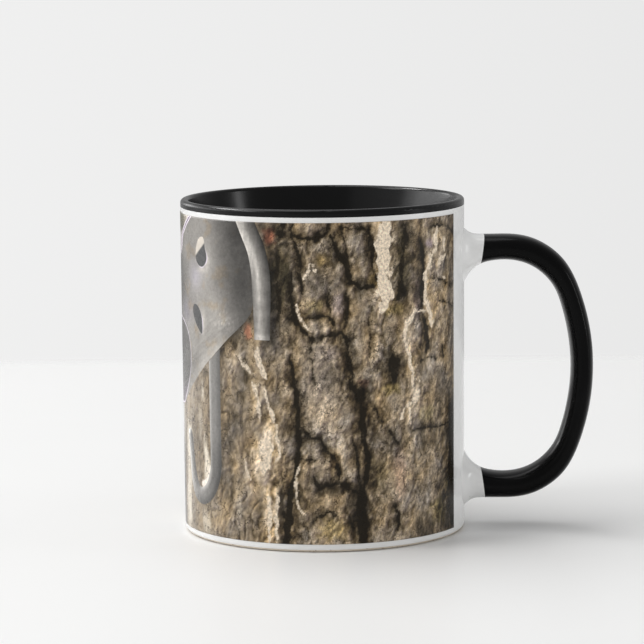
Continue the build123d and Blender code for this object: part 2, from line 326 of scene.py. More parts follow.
PAST_MIDDLE = -30  # half outlines are closed this far beyond the middle line, out of the way


def lattice(ix, iz, seed):
    """Repeatable random numbers from 0 to 1 at whole-number points."""
    n = (ix * 374761393 + iz * 668265263 + seed * 974634721) & 0xFFFFFFFF
    n = ((n ^ (n >> 13)) * 1274126177) & 0xFFFFFFFF
    n = ((n ^ (n >> 16)) * 2246822519) & 0xFFFFFFFF
    return (n >> 8) / float(1 << 24)


def noise(x, y, seed):
    """Gradient noise, about -1 to 1, with features one unit across."""
    ix, iy = np.floor(x).astype(np.int64), np.floor(y).astype(np.int64)
    fx, fy = x - ix, y - iy
    sx, sy = fx * fx * fx * (fx * (fx * 6 - 15) + 10), fy * fy * fy * (fy * (fy * 6 - 15) + 10)

    def corner(dx, dy):
        turn = 2 * math.pi * lattice(ix + dx, iy + dy, seed)
        return np.cos(turn) * (fx - dx) + np.sin(turn) * (fy - dy)

    low = corner(0, 0) * (1 - sx) + corner(1, 0) * sx
    high = corner(0, 1) * (1 - sx) + corner(1, 1) * sx
    return 1.5 * (low * (1 - sy) + high * sy)


def fractal(x, y, seed, octaves=4, gain=0.5):
    """Noise with finer and fainter layers added."""
    total, size = 0.0, 1.0
    for k in range(octaves):
        total = total + size * noise(x * 2**k, y * 2**k, seed + 17 * k)
        size *= gain
    return total


def smooth(low, high, value):
    """A smooth step from 0 at low to 1 at high; low may be the larger."""
    t = np.clip((value - low) / (high - low), 0, 1)
    return t * t * (3 - 2 * t)


def curve_through(points, steps=8):
    """Points along a smooth curve through the given ones."""
    p = np.array([points[0], *points, points[-1]], float)
    t = np.linspace(0, 1, steps, endpoint=False)[:, None]
    runs = []
    for a, b, c, d in zip(p[:-3], p[1:-2], p[2:-1], p[3:]):
        square = (2 * a - 5 * b + 4 * c - d) * t**2
        cube = (3 * b - a - 3 * c + d) * t**3
        runs.append(0.5 * (2 * b + (c - a) * t + square + cube))
    return np.vstack(runs + [p[-1:]])


def to_line(u, z, line):
    """Distance to a line of points, the offset from it in u and z, and how far along, 0 to 1."""
    best = np.full(u.shape, 1e9)
    off_u, off_z, along = np.zeros(u.shape), np.zeros(u.shape), np.zeros(u.shape)
    steps = np.hypot(*np.diff(line, axis=0).T)
    start = np.concatenate([[0], np.cumsum(steps)])
    for k, (a, b) in enumerate(zip(line[:-1], line[1:])):
        d = b - a
        t = np.clip(((u - a[0]) * d[0] + (z - a[1]) * d[1]) / max(d @ d, 1e-9), 0, 1)
        eu, ez = u - a[0] - t * d[0], z - a[1] - t * d[1]
        dist = np.hypot(eu, ez)
        closer = dist < best
        best = np.where(closer, dist, best)
        off_u, off_z = np.where(closer, eu, off_u), np.where(closer, ez, off_z)
        along = np.where(closer, (start[k] + t * steps[k]) / start[-1], along)
    return best, off_u, off_z, along


def inside_distance(u, z, outline):
    """Signed distance to a closed outline, negative inside."""
    closed = np.vstack([outline, outline[:1]])
    dist = to_line(u, z, closed)[0]
    inside = np.zeros(u.shape, bool)
    for a, b in zip(closed[:-1], closed[1:]):
        crosses = (a[1] > z) != (b[1] > z)
        reach = a[0] + (z - a[1]) * (b[0] - a[0]) / (b[1] - a[1] if b[1] != a[1] else 1e-9)
        inside ^= crosses & (u < reach)
    return np.where(inside, -dist, dist)


def stroke_fields(u, z, strokes, wobble):
    """A soft field and a firm one along all the strokes, and the signed distance outside them."""
    wide, narrow, gap = np.zeros(u.shape), np.zeros(u.shape), np.full(u.shape, 9.0)
    for points, half, depth in strokes:
        line = curve_through(points)
        reach = 4 * half + 2.5
        low, high = line.min(0) - reach, line.max(0) + reach
        near = (u > low[0]) & (u < high[0]) & (z > low[1]) & (z < high[1])
        if not near.any():
            continue
        dist, _, _, along = to_line(u[near], z[near], line)
        taper = 0.4 + 0.6 * np.sqrt(np.clip(np.minimum(along, 1 - along) * 5, 0, 1))
        width = half * taper * (1 + 0.9 * wobble[near])
        depth = depth * (1 + 0.35 * wobble[near])
        wide[near] = np.maximum(wide[near], depth * np.exp(-((dist / (2.1 * width + 0.45)) ** 2)))
        narrow[near] = np.maximum(narrow[near], depth * np.exp(-((dist / (0.66 * width + 0.08)) ** 2)))
        gap[near] = np.minimum(gap[near], dist - 0.62 * np.maximum(width, 0.12))
    return wide, narrow, gap


def both_halves(strokes):
    """The strokes as listed, and the same turned half round for the other half of the picture."""
    return [
        ([(sign * u, sign * z + shift) for u, z in points], half, depth)
        for sign, shift in HALVES
        for points, half, depth in strokes
    ]


def plate_field(u, z):
    """Height of the plates of bark that stand out."""
    plates = np.zeros(u.shape)
    for (cu, cz), a, b, lean, height in PLATES:
        for sign, shift in HALVES:
            dz = z - (sign * cz + shift)
            du = (u - sign * cu) - lean * dz
            plates = np.maximum(plates, height * (1 - smooth(0.70, 1.04, np.hypot(du / a, dz / b))))
    return plates


def patch_gain(u, z, ragged):
    """How much the broad soft patches lighten or darken the bark."""
    gain = np.ones(u.shape)
    for cu, cz, a, b, strength in PATCHES:
        for sign, shift in HALVES:
            r = np.hypot((u - sign * cu) / a, (z - sign * cz - shift) / b) + 0.3 * ragged
            gain *= 1 + (strength - 1) * (1 - smooth(0.4, 1.5, r))
    return gain


def creases(x, y, seed, width):
    """Thin wandering lines, strong in some places and missing in others."""
    line = 1 - smooth(0, width, np.abs(fractal(x, y, seed, 2, 0.4)))
    return line * smooth(-0.35, 0.35, noise(x / 1.7 + 9, y / 1.7, seed + 3))


BARK_RAMP = [  # height, then the colour there
    (-1.6, (0.125, 0.098, 0.055)),
    (-0.9, (0.228, 0.190, 0.135)),
    (-0.4, (0.345, 0.300, 0.230)),
    (0.1, (0.470, 0.418, 0.345)),
    (0.55, (0.580, 0.523, 0.445)),
    (1.10, (0.680, 0.620, 0.535)),
    (1.80, (0.850, 0.800, 0.710)),
]
PALE_WOOD = np.array([0.82, 0.76, 0.675])


def ramp(value, stops):
    """Colours blended between the stops, each (value, colour)."""
    levels = [s[0] for s in stops]
    return np.stack([np.interp(value, levels, [s[1][k] for s in stops]) for k in range(3)], -1)


def slope(field, u, z):
    """How steeply a field on the picture's grid rises away from the picture's light."""
    dz, du = np.gradient(field.reshape(ROWS, COLUMNS), z[::COLUMNS], u[:COLUMNS])
    return -(du * LIGHT[0] + dz * LIGHT[1]).reshape(-1)


def bark_colour(u, z):
    """The bark's colours, and the distances to its cracks and pale ridges: the lists over noise."""
    flow_u = u + 1.2 * fractal(u / 8, z / 12, 3, 3)
    flow_z = z + 2.2 * fractal(u / 9, z / 11, 7, 3)
    bent_u = u + 0.42 * fractal(u / 1.7, z / 2.4, 31, 3)
    bent_z = z + 0.50 * fractal(u / 1.7, z / 2.1, 37, 3)
    wobble = np.clip(fractal(u / 2.0, z / 3.4, 21, 3), -1, 1)
    big = fractal(flow_u / 6, flow_z / 11, 51, 3)
    lumps = fractal(flow_u / 2.3, flow_z / 3.0, 53, 3, 0.62)
    grit = fractal(u / 0.95, z / 1.25, 57, 2, 0.6)
    wide, narrow, crack_gap = stroke_fields(bent_u, bent_z, both_halves(CRACKS), wobble)
    ridge_wide, ridge, ridge_gap = stroke_fields(bent_u, bent_z, both_halves(RIDGES), wobble)
    plates = plate_field(bent_u, bent_z)
    lines = 0.8 * creases(flow_u / 4.2, flow_z / 9.5, 41, 0.11)
    lines = lines + 0.55 * creases(flow_u / 2.0, flow_z / 3.6, 43, 0.15)
    lines *= 1 - 0.45 * np.clip(plates * 1.6, 0, 1)
    body = 0.38 * big + 0.40 * lumps + 0.24 * grit
    height = 0.20 + body + 0.35 * plates + 0.5 * ridge - 0.85 * lines - 0.85 * wide
    relief = 1.1 * big + 0.60 * lumps + 0.12 * grit + 1.7 * plates + 1.1 * ridge_wide
    relief = relief - 0.8 * lines - 1.5 * wide
    light = np.tanh(0.62 * slope(relief, u, z))
    colour = ramp(height, BARK_RAMP)
    hue = np.clip(fractal(u / 6, z / 9, 81, 4), -1, 1)
    colour *= 1 + hue[:, None] * np.array([0.05, 0.01, -0.08])
    for cu, cz, a, b, *rgb, strength in TINTS:
        for sign, shift in HALVES:
            du, dz = bent_u - sign * cu, bent_z - sign * cz - shift
            r = np.hypot(du / a, dz / b) + 0.35 * lumps
            amount = (strength * (1 - smooth(0.35, 1.25, r)))[:, None]
            colour += (np.array(rgb) * colour.mean(1, keepdims=True) / 0.44 - colour) * amount
    colour *= patch_gain(bent_u, bent_z, lumps)[:, None]
    shade = np.where(light > 0, 0.34 * light, 0.46 * light)
    colour *= (1 + shade)[:, None] * (1 + np.minimum(light, 0)[:, None] * np.array([0.0, 0.03, -0.03]))
    pale = 0.55 * smooth(0.22, 0.75, ridge + 0.25 * lumps)
    pale_ink = PALE_WOOD * (1 + 0.16 * grit + 0.12 * light)[:, None]
    colour = mix(colour, pale_ink, pale)
    dark = np.clip(narrow, 0, 1) * (1 - pale)
    return np.clip(colour * (1 - 0.40 * dark)[:, None], 0.02, 1), crack_gap, ridge_gap


def grey(tone, warmth=0.0):
    """A grey of this brightness (0 to 255), a little warm or cool."""
    tone = np.asarray(tone, float) / 255
    return np.stack([tone * (1 + warmth), tone, tone * (1 - 1.3 * warmth)], -1)


def mix(low, high, amount):
    """One colour per point, from low where the amount is 0 to high where it is 1."""
    return low + (high - low) * np.asarray(amount)[..., None]


def spot(u, z, centre, size):
    """A soft round or oval spot, 1 in its middle."""
    return np.exp(-(((u - centre[0]) / size[0]) ** 2) - ((z - centre[1]) / size[1]) ** 2)


def spout_colour(a, z, edge_gap):
    """The spout's sheet metal, mottled, darker where it curves away at its outer edge."""
    tone = 152 - 72 * smooth(27, 42, a + 0.10 * (z - 70)) - 10 * smooth(80, 90, z)
    tone += 26 * spot(a, z, (20.5, 76), (4.2, 3.4)) + 20 * spot(a, z, (33, 64.5), (4.5, 3.2))
    tone += 26 * np.exp(-((edge_gap / 2.6) ** 2)) * smooth(64, 56, z)
    tone -= 46 * smooth(20, 4, a) * smooth(64, 71, z) * smooth(84, 77, z)
    tone -= 14 * spot(a, z, (18, 82), (4, 3)) + 16 * smooth(58, 50, z) * smooth(26, 18, a)
    scratch = fractal((a + 0.6 * z) / 6, (z - 0.6 * a) / 0.9, 95, 2)
    tone += 7 * fractal(a / 6, z / 6, 91, 3) + 5 * fractal(a / 1.3, z / 1.3, 93, 3)
    tone += (10 + 14 * spot(a, z, (33, 65), (5, 4))) * scratch * smooth(70, 60, z)
    nicks = smooth(0.25, 0.8, fractal(a / 0.55, z / 1.7, 96, 2))
    tone += 52 * nicks * spot(a, z, (33, 64.6), (4.0, 3.0)) - 9 * smooth(24, 32, a) * smooth(68, 76, z)
    colour = grey(tone, 0.028)
    cool = 0.8 * spot(a, z, (12, 65.5), (6, 3.5)) + 0.8 * spot(a, z, (20, 76), (4, 4))
    colour *= 1 + cool[:, None] * np.array([-0.03, -0.03, 0.05])
    rust = 0.6 * smooth(0.2, 0.9, fractal(a / 6, z / 5, 97, 3))
    return mix(colour, colour * np.array([1.04, 0.97, 0.87]), rust)


def rod_shade(across, left, peak_tone, right, peak):
    """Tones across a round rod: across runs from -1 at its left edge to 1 at its right edge."""
    before = peak_tone + (left - peak_tone) * np.clip((peak - across) / (1 + peak), 0, 1) ** 1.5
    after = peak_tone + (right - peak_tone) * np.clip((across - peak) / (1 - peak), 0, 1) ** 0.9
    return np.where(across < peak, before, after)


def hook_rod(a, z):
    """Signed distance and colour of the rod that bends down beside the spout."""
    gap, off_u, _, along = to_line(a, z, curve_through(ROD))
    half = ROD_HALF * (0.86 + 0.14 * smooth(1.0, 0.55, along))
    across = np.clip(off_u / half, -1, 1)
    top = rod_shade(across, 222, 196, 36, -0.80)
    low = rod_shade(across, 112, 160, 66, -0.20)
    tone = top + (low - top) * smooth(87, 74, z)
    tone += 26 * np.exp(-(((across + 0.30) / 0.22) ** 2)) * smooth(68, 78, z) * smooth(92, 84, z)
    tone += 30 * smooth(62.0, 60.0, z + 0.8 * fractal(a / 1.2, z / 1.2, 104, 2))
    tone *= 1 + 0.09 * fractal(a / 0.7, z / 5, 101, 3) + 0.08 * fractal(a / 2, z / 2, 102, 2)
    return np.maximum(gap - half, ROD_END - z), grey(tone, 0.028)


def hook_loop(a, z):
    """Signed distance and colour of the bent loop below, lit from its upper left."""
    gap, off_u, off_z, along = to_line(a, z, curve_through(LOOP))
    half = LOOP_HALF * (1 - 0.25 * smooth(0.70, 0.95, along))
    toward = (off_u * LIGHT[0] + off_z * LIGHT[1]) / half
    tone = 130 + 62 * smooth(0.30, 0.95, toward) - 34 * smooth(0.1, -0.9, toward)
    tone += 84 * smooth(-0.3, 0.7, toward) * smooth(0.66, 0.78, along)
    tone -= 22 * smooth(0.38, 0.5, along) * smooth(0.68, 0.58, along)
    tone *= 1 + 0.04 * fractal(a / 0.9, z / 3, 103, 3)
    return gap - half, grey(tone, 0.02)


def in_the_holes(a, z, mouth, upper, lower):
    """What is seen through the two small holes and in the spout's mouth."""
    cream = grey(206 + 8 * fractal(a / 2, z / 2, 107, 2), 0.045)
    dark = grey(84 + 5 * fractal(a / 1.5, z / 1.5, 109, 2), 0.0)
    cut = (z - 81.6) - 0.78 * (a - 20.4)
    seen = mix(dark, cream, smooth(-0.25, 0.35, cut) * smooth(0.5, 0.0, upper))
    tone = 104 + 2 * smooth(5, 13, a) + 26 * np.exp(-(((z - 45) / 4) ** 2)) * smooth(9, 2, a)
    tone += 14 * smooth(57, 62, z) + 5 * fractal(a / 9, z / 1.6, 113, 3)
    inside = mix(grey(tone, 0.02), np.array([0.63, 0.575, 0.64]), 0.6 * smooth(46, 39, z))
    return mix(seen, inside, smooth(0.6, 0.0, mouth))


def metal_layers(u, z):
    """Signed distances in millimetres, and colours, of the spout, its rods and its openings."""
    a = np.abs(u)
    outline = np.array(SPOUT_SIDE + SPOUT_EDGE, float)
    body = inside_distance(a, z, np.vstack([outline, [(PAST_MIDDLE, 79.6), (PAST_MIDDLE, 36)]]))
    lower_gap = to_line(a, z, np.array(SPOUT_SIDE, float))[0]
    upper_gap = to_line(a, z, np.array(SPOUT_EDGE, float))[0]
    rod, rod_ink = hook_rod(a, z)
    loop, loop_ink = hook_loop(a, z)
    loop = np.maximum(loop, 0.1 - body)
    upper = inside_distance(a, z, curve_through([*UPPER_HOLE, UPPER_HOLE[0]], 4)[:-1])
    lower = inside_distance(a, z, curve_through([*LOWER_HOLE, LOWER_HOLE[0]], 4)[:-1])
    half_mouth = np.array(MOUTH, float)
    mouth = inside_distance(a, z, np.vstack([half_mouth, [(PAST_MIDDLE, 37.4), (PAST_MIDDLE, 62.7)]]))
    lit = spot(a, z, (26.6, 80.8), (1.3, 2.2)) + spot(a, z, (24, 78), (2.2, 0.9))
    lit = lit + spot(a, z, (24.3, 63.5), (0.9, 3.4))
    body_ink = mix(spout_colour(a, z, lower_gap), grey(214.0, 0.035), 0.6 * np.clip(lit, 0, 1))
    mouth_light = 0.5 + 0.5 * smooth(47, 41, z) + 0.3 * smooth(58, 62, z)
    round_mouth = smooth(1.4, 0.2, np.abs(mouth)) * mouth_light
    return {
        "body": body,
        "rods": np.minimum(rod, loop),
        "hole": np.minimum(mouth, np.minimum(upper, lower)),
        "body_ink": body_ink,
        "rod_ink": np.where((rod < loop)[:, None], rod_ink, loop_ink),
        "seen_ink": in_the_holes(a, z, mouth, upper, lower),
        "hole_rim": np.clip(0.9 * lit + round_mouth, 0, 1),
        "edge_rim": smooth(2.0, 1.2, upper_gap) * smooth(80.5, 83, z),
        "shadow": cast_shadow(a, body, rod, loop),
    }


def cast_shadow(a, body, rod, loop):
    """How much the spout and its rods darken the bark beside them."""
    shade = 0.60 * np.exp(-((np.maximum(rod, 0) / 2.4) ** 2)) * smooth(44, 50, a)
    shade += 0.30 * np.exp(-((np.maximum(loop, 0) / 1.3) ** 2)) * smooth(28, 33, a)
    shade += 0.35 * np.exp(-((np.maximum(body, 0) / 1.6) ** 2)) * smooth(28, 33, a)
    return np.clip(shade, 0, 0.7)


CREAM_STREAKS = [  # u, z, half width, half height, strength
    (11.6, 7, 3.0, 8.5, 0.95),
    (13, 16, 2.2, 7.0, 0.9),
    (12.6, 26, 2.0, 6.5, 1.0),
    (25.0, 22, 1.7, 8, 0.85),
    (23.2, 43, 0.8, 4.4, 0.7),
    (13.8, 30.9, 2.6, 1.5, 0.95),
    (12.6, 33, 1.8, 1.4, 0.5),
    (24.6, 5.4, 2.4, 4.0, 0.6),
    (11, 25, 1.3, 8, 0.4),
    (21.6, 34, 1.3, 5, 0.35),
    (24.4, 29, 1.0, 3, 0.4),
    (38.4, 12, 1.0, 4, 0.3),
]
CRESCENT = [(23.0, 16.6), (24.8, 17.3), (26.2, 18.9), (27.3, 21.6)]  # bright, inside the loop's bend


def background(u, z, colour):
    """The bark, paler and softer behind the spout, and the bright gaps beside it."""
    a = np.abs(u)
    drift = fractal(a / 2.4, z / 5, 119, 3)
    haze = 0.62 * smooth(36, 12, a + 2 * drift) * smooth(62, 50, z)
    soft = grey(168 + 24 * fractal(a / 4.5, z / 15, 121, 3) + 10 * drift, 0.075)
    colour = mix(colour * (1 + 0.22 * haze)[:, None], soft, haze)
    cream = np.array([0.94, 0.90, 0.83])
    for cu, cz, su, sz, strength in CREAM_STREAKS:
        d = np.hypot((a - cu) / su, (z - cz) / sz) + 0.38 * drift
        colour = mix(colour, cream, strength * smooth(1.35, 0.35, d))
    crescent = to_line(a, z, curve_through(CRESCENT))[0]
    colour = mix(colour, np.array([0.97, 0.93, 0.88]), smooth(1.35, 0.65, crescent))
    tone = 222 + 33 * smooth(28, 34, z) - 76 * smooth(30, 20, z) + 16 * smooth(14, 6, z) + 14 * drift
    left_gap = smooth(9.8, 5.6, a + 0.04 * (z - 20) + 0.7 * drift) * smooth(39.5, 37.5, z)
    colour = mix(colour, grey(tone, 0.018), left_gap)
    moss, pith = np.array([0.44, 0.42, 0.35]), np.array([0.82, 0.78, 0.73])
    behind = mix(moss, pith, smooth(8.5, 12.5, a - 0.25 * (z - 88)))
    behind = behind * (1 + 0.10 * drift)[:, None]
    behind = mix(behind, np.array([0.92, 0.88, 0.89]), smooth(89, 86, z))
    return mix(colour, behind, smooth(77, 78, z) * smooth(24, 20, a))


# --- The printed coat -------------------------------------------------------------------------


def wall_radius(z):
    """The drafted wall's outside radius, in millimetres, under the printed coat."""
    return WALL_RADIUS_BASE + (WALL_RADIUS_TOP - WALL_RADIUS_BASE) * z / HEIGHT


def on_wall(turn, z, lift):
    """A point in metres on the wall: turn is from the side opposite the handle, towards the front."""
    radius = (wall_radius(z) + lift) * MM
    return np.stack([-radius * np.cos(turn), -radius * np.sin(turn), z * MM], -1)


def coat_mesh():
    """The coat as one closed shell: a fine grid outside, and one long face per column inside."""
    back = np.linspace(-PRINT_HALF_TURN, 0, COLUMNS_BACK, endpoint=False)
    turns = np.concatenate([back, np.linspace(0, PRINT_HALF_TURN, COLUMNS_FRONT)])
    heights = np.linspace(PRINT_BASE, PRINT_TOP, ROWS)
    turn_grid, z_grid = np.meshgrid(turns, heights)
    outside = on_wall(turn_grid.ravel(), z_grid.ravel(), COAT)
    inside = np.vstack([on_wall(turns, np.full(COLUMNS, z), 0.0) for z in (PRINT_BASE, PRINT_TOP)])
    low, high = ROWS * COLUMNS, ROWS * COLUMNS + COLUMNS
    last = (ROWS - 1) * COLUMNS
    faces = []
    for r in range(ROWS - 1):
        for c in range(COLUMNS - 1):
            a = r * COLUMNS + c
            faces.append((a, a + 1, a + 1 + COLUMNS, a + COLUMNS))
    for c in range(COLUMNS - 1):
        faces.append((low + c, high + c, high + c + 1, low + c + 1))
        faces.append((c, low + c, low + c + 1, c + 1))
        faces.append((last + c, last + c + 1, high + c + 1, high + c))
    left = [r * COLUMNS for r in range(ROWS)]
    right = [r * COLUMNS + COLUMNS - 1 for r in range(ROWS)]
    faces.append((*left, high, low))
    faces.append((*right[::-1], low + COLUMNS - 1, high + COLUMNS - 1))
    mesh = bpy.data.meshes.new("bark_print")
    mesh.from_pydata(np.vstack([outside, inside]).tolist(), [], faces)
    mesh.validate()
    spread = np.stack([turn_grid.ravel() * PRINT_RADIUS, z_grid.ravel()], -1)
    return mesh, spread


def store(mesh, name, values, kind):
    """Keeps one value per vertex; the few vertices inside the coat get the mean, never seen."""
    values = np.asarray(values, float)
    spare = len(mesh.vertices) - len(values)
    values = np.concatenate([values, np.repeat(values.mean(0)[None], spare, 0)])
    attribute = mesh.attributes.new(name, kind, "POINT")
    if kind == "FLOAT_COLOR":
        values = np.column_stack([values, np.ones(len(values))])
        attribute.data.foreach_set("color", values.astype(np.float32).ravel())
    elif kind == "FLOAT_VECTOR":
        attribute.data.foreach_set("vector", values.astype(np.float32).ravel())
    else:
        attribute.data.foreach_set("value", values.astype(np.float32).ravel())


def to_linear(colour):
    """From display values, 0 to 1, to linear light."""
    c = np.clip(colour, 0, 1)
    return np.where(c <= 0.04045, c / 12.92, ((c + 0.055) / 1.055) ** 2.4)


def evened(colour, u):
    """Display colours as linear ink, made lighter or darker against the room light: painted light."""
    linear = to_linear(colour)
    return linear * np.interp(u, *np.transpose(EVENING))[:, None]


def make_print():
    """Builds the printed coat, works out its picture and puts it in the place of the CAD's coat."""
    mesh, spread = coat_mesh()
    u, z = spread.T
    layers = metal_layers(u, z)
    bark, layers["crack"], layers["ridge"] = bark_colour(u, z)
    bark = background(u, z, bark) * (1 - layers["shadow"])[:, None]
    store(mesh, "spread", np.column_stack([u, z, np.zeros(len(u))]), "FLOAT_VECTOR")
    # Each ink is stored with the painted light of EVENING in it.
    store(mesh, "bark_ink", evened(bark, u), "FLOAT_COLOR")
    for name in ("body_ink", "rod_ink", "seen_ink"):
        store(mesh, name, evened(layers[name], u), "FLOAT_COLOR")
    # The painted light gain of EVENING, times the spout's shadow in the picture.
    layers["painted_light_gain"] = np.interp(u, *np.transpose(EVENING)) * (1 - layers["shadow"])
    for name in ("body", "rods", "hole", "hole_rim", "edge_rim", "crack", "ridge", "painted_light_gain"):
        store(mesh, name, layers[name], "FLOAT")
    store(mesh, "sharpness", 0.35 + 0.65 * smooth(40, 60, np.abs(u)), "FLOAT")
    for face in mesh.polygons:
        face.use_smooth = len(face.vertices) == 4
    piece = bpy.data.objects.new("bark_print", mesh)
    bpy.context.scene.collection.objects.link(piece)
    piece.data.materials.append(print_material())
    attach(piece, "root")
    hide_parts("print_coat")


# --- Materials --------------------------------------------------------------------------------


class Graph:
    """A material's node tree, with short calls for the nodes used here."""

    def __init__(self, name):
        self.material = bpy.data.materials.new(name)
        self.material.use_nodes = True
        self.tree = self.material.node_tree
        self.tree.nodes.clear()
        self.shader = self.node("ShaderNodeBsdfPrincipled")
        self.output = self.node("ShaderNodeOutputMaterial")
        self.link(self.shader.outputs[0], self.output.inputs["Surface"])

    def node(self, kind, **settings):
        made = self.tree.nodes.new(kind)
        for key, value in settings.items():
            setattr(made, key, value)
        return made

    def link(self, source, target):
        self.tree.links.new(source, target)

    def feed(self, target, value):
        if isinstance(value, bpy.types.NodeSocket):
            self.link(value, target)
        elif isinstance(value, tuple) and len(value) == 3 and target.type == "RGBA":
            target.default_value = (*value, 1)
        else:
            target.default_value = value

    def attribute(self, name, output="Fac"):
        return self.node("ShaderNodeAttribute", attribute_name=name).outputs[output]

    def math(self, operation, a, b=0.0, c=0.0):
        made = self.node("ShaderNodeMath", operation=operation)
        for socket, value in zip(made.inputs, (a, b, c)):
            self.feed(socket, value)
        return made.outputs[0]

    def vector(self, operation, a, b):
        made = self.node("ShaderNodeVectorMath", operation=operation)
        self.feed(made.inputs[0], a)
        self.feed(made.inputs[1], b)
        return made.outputs[0]

    def noise(self, place, scale, detail=2.0, rough=0.5):
        made = self.node("ShaderNodeTexNoise")
        self.feed(made.inputs["Vector"], place)
        made.inputs["Scale"].default_value = scale
        made.inputs["Detail"].default_value = detail
        made.inputs["Roughness"].default_value = rough
        return made.outputs["Fac"]

    def ramp(self, value, low, high, to_low=0.0, to_high=1.0, smooth=True):
        made = self.node("ShaderNodeMapRange", interpolation_type="SMOOTHSTEP" if smooth else "LINEAR")
        given = {"Value": value, "From Min": low, "From Max": high, "To Min": to_low, "To Max": to_high}
        for key, number in given.items():
            self.feed(made.inputs[key], number)
        return made.outputs["Result"]

    def mix(self, amount, a, b, blend="MIX"):
        made = self.node("ShaderNodeMix", data_type="RGBA", blend_type=blend)
        sockets = [s for s in made.inputs if s.enabled]
        self.feed(sockets[0], amount)
        self.feed(sockets[1], a)
        self.feed(sockets[2], b)
        return next(s for s in made.outputs if s.enabled)

    def tint(self, colour, tone):
        """Multiplies a colour by a grey tone."""
        grey_tone = self.node("ShaderNodeCombineColor")
        for socket in grey_tone.inputs:
            self.link(tone, socket)
        return self.mix(1.0, colour, grey_tone.outputs[0], "MULTIPLY")

    def bump(self, height, distance, strength=1.0):
        made = self.node("ShaderNodeBump")
        made.inputs["Strength"].default_value = strength
        made.inputs["Distance"].default_value = distance
        self.link(height, made.inputs["Height"])
        self.link(made.outputs[0], self.shader.inputs["Normal"])

    def object_place(self):
        return self.node("ShaderNodeTexCoord").outputs["Object"]


# Inks are in linear light, and distances in millimetres. An edge blends over twice its softness.
CRACK_INK = (0.014, 0.010, 0.005)
HAIR_CRACK_INK = (0.020, 0.014, 0.008)
RIDGE_INK = (0.58, 0.49, 0.38)
METAL_SOFT = 0.10
HOLE_SOFT = 0.08
RIM_INK = (0.84, 0.76, 0.86)
RIM_OFFSET = 0.16
RIM_REACH = (0.34, 0.06)
EDGE_LINES = [  # distance from the spout's upper edge, negative inside, and ink
    (0.15, (0.88, 0.82, 0.88)),
    (-0.35, (0.30, 0.24, 0.31)),
    (-0.85, (0.88, 0.80, 0.88)),
]
EDGE_LINE_REACH = (0.34, 0.10)


def bark_with_cracks(g, place, grain_place, bark):
    """Cuts the listed cracks and ridges into the bark with ragged edges, and adds hair cracks."""
    ragged = g.math("MULTIPLY_ADD", g.noise(place, 1.1, 5.0, 0.68), 2.2, -1.1)
    wander = g.noise(grain_place, 0.34, 4.0, 0.6)
    hair = g.ramp(g.math("ABSOLUTE", g.math("SUBTRACT", wander, 0.5)), 0.019, 0.004)
    some = g.ramp(g.noise(place, 0.22, 2.0), 0.42, 0.58, 0.0, 0.85)
    bark = g.mix(g.math("MULTIPLY", hair, some), bark, HAIR_CRACK_INK)
    crack = g.ramp(g.math("ADD", g.attribute("crack"), ragged), 0.24, -0.16, 0.0, 0.86)
    bark = g.mix(crack, bark, CRACK_INK)
    pale_tone = g.math("MULTIPLY_ADD", g.noise(grain_place, 1.5, 4.0, 0.62), 2.7, -0.36)
    # The pale ridge ink takes the same painted light as the stored inks.
    pale = g.tint(RIDGE_INK, g.math("MULTIPLY", pale_tone, g.attribute("painted_light_gain")))
    ridge = g.ramp(g.math("ADD", g.attribute("ridge"), ragged), 0.24, -0.16, 0.0, 0.82)
    return g.mix(ridge, bark, pale)


def print_material():
    """The dyed coat: crisp edges from signed distances, and fine bark grain from noise."""
    g = Graph("printed_coat_ink")
    place = g.attribute("spread", "Vector")
    grain_place = g.vector("MULTIPLY", place, (1.0, 0.78, 1.0))
    grain = g.noise(grain_place, 1.05, 5.0, 0.64)
    lit_grain = g.noise(g.vector("ADD", grain_place, (0.17, -0.09, 0.0)), 1.05, 5.0, 0.64)
    speck = g.noise(grain_place, 2.9, 3.0, 0.62)
    tone = g.math("MULTIPLY", g.math("SUBTRACT", lit_grain, grain), -1.3)
    tone = g.math("ADD", tone, g.math("MULTIPLY_ADD", speck, 1.5, -0.75))
    tone = g.math("ADD", tone, g.math("MULTIPLY_ADD", grain, 1.9, -0.95))
    tone = g.math("MULTIPLY", tone, g.attribute("sharpness"))
    tone = g.math("MAXIMUM", g.math("ADD", tone, 1.0), 0.18)
    bark = bark_with_cracks(g, place, grain_place, g.tint(g.attribute("bark_ink", "Color"), tone))
    brushed = g.ramp(g.noise(place, 1.3, 4.0, 0.6), 0.2, 0.8, 0.84, 1.16, smooth=False)
    body = g.attribute("body")
    metal = g.tint(g.attribute("body_ink", "Color"), brushed)
    colour = g.mix(g.ramp(body, METAL_SOFT, -METAL_SOFT), bark, metal)
    rods = g.tint(g.attribute("rod_ink", "Color"), brushed)
    colour = g.mix(g.ramp(g.attribute("rods"), METAL_SOFT, -METAL_SOFT), colour, rods)
    hole = g.attribute("hole")
    colour = g.mix(g.ramp(hole, HOLE_SOFT, -HOLE_SOFT), colour, g.attribute("seen_ink", "Color"))
    near_hole = g.ramp(g.math("ABSOLUTE", g.math("SUBTRACT", hole, RIM_OFFSET)), *RIM_REACH)
    colour = g.mix(g.math("MULTIPLY", near_hole, g.attribute("hole_rim")), colour, RIM_INK)
    for offset, ink in EDGE_LINES:
        near = g.ramp(g.math("ABSOLUTE", g.math("SUBTRACT", body, offset)), *EDGE_LINE_REACH)
        colour = g.mix(g.math("MULTIPLY", near, g.attribute("edge_rim")), colour, ink)
    g.link(colour, g.shader.inputs["Base Color"])
    g.link(g.ramp(g.noise(place, 0.25, 3.0), 0.3, 0.7, 0.24, 0.32), g.shader.inputs["Roughness"])
    g.shader.inputs["Specular IOR Level"].default_value = 0.14
    g.bump(g.noise(place, 0.5, 2.0), 0.00004, 0.5)
    return g.material


